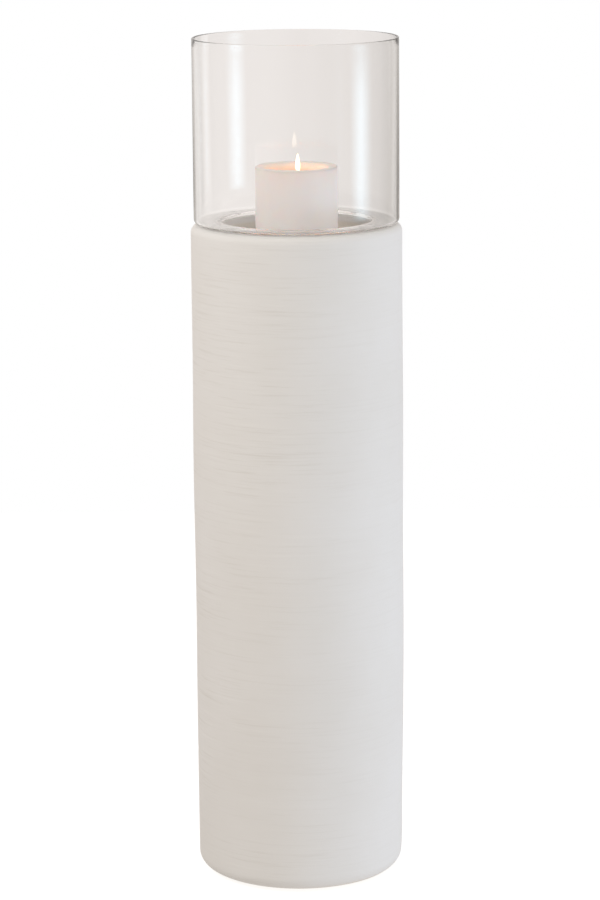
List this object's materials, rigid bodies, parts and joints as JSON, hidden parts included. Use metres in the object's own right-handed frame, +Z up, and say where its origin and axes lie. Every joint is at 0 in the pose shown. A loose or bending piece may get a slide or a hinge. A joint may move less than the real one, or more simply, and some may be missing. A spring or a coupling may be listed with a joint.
{
  "type": "hurricane candle lantern",
  "caption": "Tall floor-standing hurricane candle lantern: a clear glass cylinder whose sunken cup sits in the mouth of a hollow white ceramic column and holds a lit pillar candle.",
  "frame": {"origin": "on the floor, under the centre of the column, level with the undersides of the felt pads", "axes": "+Z up along the axis of the column, the glass and the candle; -Y to the front and +X to the right of someone who faces the lantern"},
  "size_m": [0.2059, 0.206, 0.83],
  "materials": {
    "ceramic": "matte",
    "felt": "matte",
    "clear_silicone": "satin",
    "glass": "polished",
    "wax": "satin",
    "melted_wax": "gloss",
    "wick": "matte",
    "tinplate": "satin",
    "flame": "gloss"
  },
  "bodies": {
    "base": {"column": "ceramic", "felt_pad_1": "felt", "felt_pad_2": "felt", "felt_pad_3": "felt", "felt_pad_4": "felt", "glass_bumper_1": "clear_silicone", "glass_bumper_2": "clear_silicone", "glass_bumper_3": "clear_silicone", "glass_bumper_4": "clear_silicone"},
    "glass": {"glass_hurricane": "glass"},
    "candle": {"candle_wax": "wax", "melt_pool": "melted_wax", "wick": "wick", "wick_tab": "tinplate"}
  },
  "joints": [
    {"name": "glass_lift", "type": "slide", "parent": "base", "child": "glass", "axis": [0, 0, 1], "range_m": [0, 0.1]},
    {"name": "candle_lift", "type": "slide", "parent": "glass", "child": "candle", "axis": [0, 0, 1], "range_m": [0, 0.25]}
  ]
}
